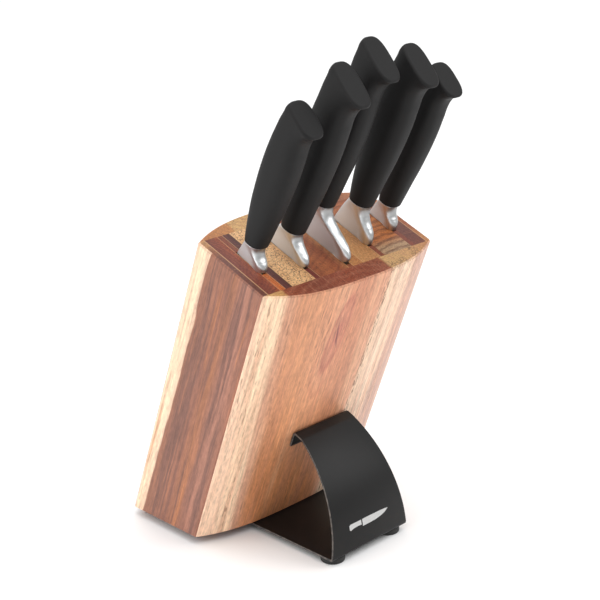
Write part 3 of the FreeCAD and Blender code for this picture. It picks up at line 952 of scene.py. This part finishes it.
def long_face(sheet, board, grain):
    """Colour of a board's long face: broad bands, streaks, fibres and short dark pores."""
    streak = paint(*board.streak)
    colour = across_ramp(sheet, grain.place * (1 - grain.up * board.fan), board.face)
    if board.deep:
        x = grain.x
        low_down = (grain.up * -1).step(60, 170) * (x + 52).step(0, 8) * (1 - x.step(8, 24)) * 0.75
        colour = mix_colour(sheet, low_down, colour, paint(*board.deep))
    banded = grain.place.step(board.band_from, board.band_from + 3)
    dark = grain.streaks.step(0.5, 0.66) * board.streak_share * (banded * 0.6 + 0.4)
    colour = mix_colour(sheet, dark, colour, streak)
    band_points = sheet.join(grain.place * BAND_ACROSS, grain.up * BAND_UP, board.seed)
    band = noise(sheet, band_points, 1.0, 3, 0.65)
    colour = mix_colour(sheet, band.step(0.5, 0.62) * board.banding * banded, colour, streak)
    light = (1 - grain.streaks).step(0.56, 0.7) * board.streak_share
    colour = mix_colour(sheet, light, colour, paint(*board.glow))
    colour = mix_colour(sheet, grain.ring ** 4 * 0.16, colour, streak)
    if board.rough is not None:
        colour = torn_grain(sheet, colour, grain, board.rough)
    if board.eye:
        colour = parted_grain(sheet, colour, grain, board.eye)
    tone = (grain.fibre - 0.5) * 1.6 + (grain.fleck - 0.5) * 0.9 + 1
    colour = mix_colour(sheet, 0.85, colour, tone, "MULTIPLY")
    dash = grain.pore.step(0.61, 0.68) * grain.patch.step(0.44, 0.6) * (0.55 * board.specks + 0.1)
    return mix_colour(sheet, dash, colour, paint(112, 70, 50))


def board_wood(name, board):
    """One board's wood: streaks and fibres that run up the block, rings and pores on its ends."""
    material, sheet = new_material(name + "_wood")
    grain = read_grain(sheet, board)
    colour = sawn_end(sheet, board, grain)
    if board.face:
        colour = mix_colour(sheet, facing_up(sheet), long_face(sheet, board, grain), colour)
    surface(sheet, {
        "Base Color": colour,
        "Roughness": grain.fibre * 0.16 + 0.4,
        "Normal": bump(sheet, grain.fibre * 0.7 + grain.pore * 0.3, 0.00006, 0.5),
        "Specular IOR Level": 0.4,
    })
    return material


grip_material = soft_touch()
bolster_material = bolster_steel()
blade_material = satin_steel("ground_blade_steel", (0.5, 0.505, 0.51), 0.22, (0.5, 0.25, 9.0))
stand_material = powder_coat()

# ---- knives ----
grip_shape = grip_tree()
bolster_shape = bolster_tree()
for name, knife in KNIVES.items():
    low, high = upright_span(name + "_blade")
    y_middle = (end_low.y + end_high.y) / 2
    rear = (y_middle - high.y) / MM - SLIP_GAP
    front = (y_middle - low.y) / MM + SLIP_GAP
    slot_middle = (low.x + high.x) / 2 / MM
    sizes = {"Slot Middle": slot_middle, "Joint Height": knife["joint"], "Butt Height": knife["butt"],
             "Depth": knife["depth"], "Head": knife["head"], "Joint Shift": knife["joint_shift"],
             "Butt Shift": knife["butt_shift"], "Rim": 1.6}
    grip = make_piece(name + "_grip", grip_shape, sizes, grip_material, block_axes)
    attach(grip, name)
    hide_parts(name + "_handle")
    joint_at = joint_middle(name)
    joint_half = GRIP[0][2] * knife["depth"] - 0.3
    sizes = {"Slot Middle": slot_middle, "Rear": rear, "Front": front, "Joint Rear": joint_at - joint_half,
             "Joint Front": joint_at + joint_half, "Joint Height": knife["joint"]}
    guard = make_piece(name + "_finger_guard", bolster_shape, sizes, bolster_material, block_axes)
    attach(guard, name)
    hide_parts(name + "_bolster")
    blade = ground_blade(name, slot_middle, rear, front)
    blade.data.materials.append(blade_material)
    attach(blade, name)
    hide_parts(name + "_blade")

# ---- block ----
for name, facts in BOARDS.items():
    material = board_wood(name, SimpleNamespace(**{**PLAIN_BOARD, **facts}))
    for node_name, node in frame["nodes"].items():
        if node_name == name or node_name.endswith(name):
            node.data.materials.clear()
            node.data.materials.append(material)

# ---- stand ----
sheet_low, sheet_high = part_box("stand_sheet")
stand_path = SheetWalk(sheet_high.y / MM, sheet_low.z / MM, 180)
stand_path.straight((sheet_high.y - sheet_low.y) / MM - FRONT_BEND)
stand_path.bend(FRONT_BEND, 90, 8)
arch_start = len(stand_path.stations)
stand_path.bend(ARCH_RADIUS, ARCH_TURN, 48)
arch_end = len(stand_path.stations)
stand_path.bend(RIDGE_RADIUS, RIDGE_TURN, 8)
stand_path.straight(SHELF)
stand_path.bend(HOOK_BEND, 180 - ARCH_TURN - RIDGE_TURN - math.degrees(lean), 10)
stand_path.straight(FLANGE)
stand = bent_sheet("stand", stand_path.stations, arch_start, arch_end)
stand.data.materials.append(stand_material)
stand.data.materials.append(cut_edge())
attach(stand, "block")
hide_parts("stand_sheet")

mark = printed_mark("printed_mark", sheet_low.y / MM + ARCH_RADIUS, sheet_low.z / MM + FRONT_BEND)
mark_material, mark_sheet = new_material("pale_print")
worn = noise(mark_sheet, object_points(mark_sheet, 1000), 2.0, 3)
surface(mark_sheet, {"Base Color": mix_colour(mark_sheet, worn, (0.42, 0.42, 0.42, 1), (0.6, 0.6, 0.59, 1)),
                     "Roughness": worn * 0.2 + 0.45})
mark.data.materials.append(mark_material)
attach(mark, "block")

rubber = satin_rubber()
foot_shape = foot_tree()
for side in ("front_left", "front_right", "rear_left", "rear_right"):
    low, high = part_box(side + "_foot")
    middle = (low + high) / 2 / MM
    sizes = {"Radius": (high.x - low.x) / 2 / MM, "Height": high.z / MM, "Dish": 0.8,
             "X": middle.x, "Y": middle.y}
    foot = make_piece(side + "_rubber_foot", foot_shape, sizes, rubber)
    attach(foot, "block")
    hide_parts(side + "_foot")

low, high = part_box("base_screws")
screw_mesh = bmesh.new()
for x in (low.x / MM + SCREW_HEAD, high.x / MM - SCREW_HEAD):
    for y in (low.y / MM + SCREW_HEAD, high.y / MM - SCREW_HEAD):
        crossed_screw(screw_mesh, x, y, low.z / MM, high.z / MM)
screws = finished("countersunk_screws", screw_mesh, False)
screws.data.materials.append(satin_steel("screw_zinc", (0.58, 0.58, 0.56), 0.3, (2.0, 2.0, 2.0)))
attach(screws, "block")
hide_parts("base_screws")

# ---- floor, light and camera ----
floor_mesh = bpy.data.meshes.new("floor")
floor_mesh.from_pydata([(-40, -40, 0), (40, -40, 0), (40, 40, 0), (-40, 40, 0)], [], [(0, 1, 2, 3)])
floor = bpy.data.objects.new("floor", floor_mesh)
bpy.context.scene.collection.objects.link(floor)
floor_material, floor_sheet = new_material("pale_floor")
surface(floor_sheet, {"Base Color": (0.93, 0.93, 0.93, 1), "Roughness": 0.8})
floor_mesh.materials.append(floor_material)
floor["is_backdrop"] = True

world = bpy.data.worlds.new("studio")
bpy.context.scene.world = world
world.use_nodes = True
world.node_tree.nodes["Background"].inputs["Color"].default_value = (1, 1, 1, 1)
world.node_tree.nodes["Background"].inputs["Strength"].default_value = 0.6


def looking_at(target, azimuth, elevation, distance, roll):
    """Place of a camera or lamp that looks at target from an azimuth and elevation in degrees."""
    az, el = math.radians(azimuth), math.radians(elevation)
    away = Vector((math.sin(az) * math.cos(el), -math.cos(az) * math.cos(el), math.sin(el)))
    turn = away.to_track_quat("Z", "Y").to_matrix().to_4x4()
    roll_turn = Matrix.Rotation(math.radians(roll), 4, "Z")
    return Matrix.Translation(target + away * distance) @ turn @ roll_turn


def soft_light(name, azimuth, elevation, distance, size, power):
    """A square soft light that looks at the object's middle."""
    data = bpy.data.lights.new(name, "AREA")
    data.size = size
    data.energy = power
    lamp = bpy.data.objects.new(name, data)
    bpy.context.scene.collection.objects.link(lamp)
    lamp.matrix_world = looking_at(Vector((0, 0, 0.15)), azimuth, elevation, distance, 0.0)


soft_light("left_softbox", -105, 16, 1.8, 1.6, 13)
soft_light("right_softbox", 40, 30, 1.8, 1.0, 8)
soft_light("top_softbox", -30, 75, 1.9, 1.6, 7)
overhead_data = bpy.data.lights.new("overhead", "SUN")
overhead_data.energy = 1.6
overhead_data.angle = math.radians(100)
overhead = bpy.data.objects.new("overhead", overhead_data)
bpy.context.scene.collection.objects.link(overhead)

camera_data = bpy.data.cameras.new("camera")
camera_data.lens = 85.87
camera_data.sensor_width = 36.0
camera = bpy.data.objects.new("camera", camera_data)
bpy.context.scene.collection.objects.link(camera)
camera.matrix_world = looking_at(Vector((0.00146, -0.00772, 0.15671)), -44.14, 19.34, 0.9202, -1.53)
bpy.context.scene.camera = camera
bpy.context.scene.view_settings.view_transform = "Standard"

low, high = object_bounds()
sizes = {"cad": [list(cad_low), list(cad_high)], "visual": [list(low), list(high)]}
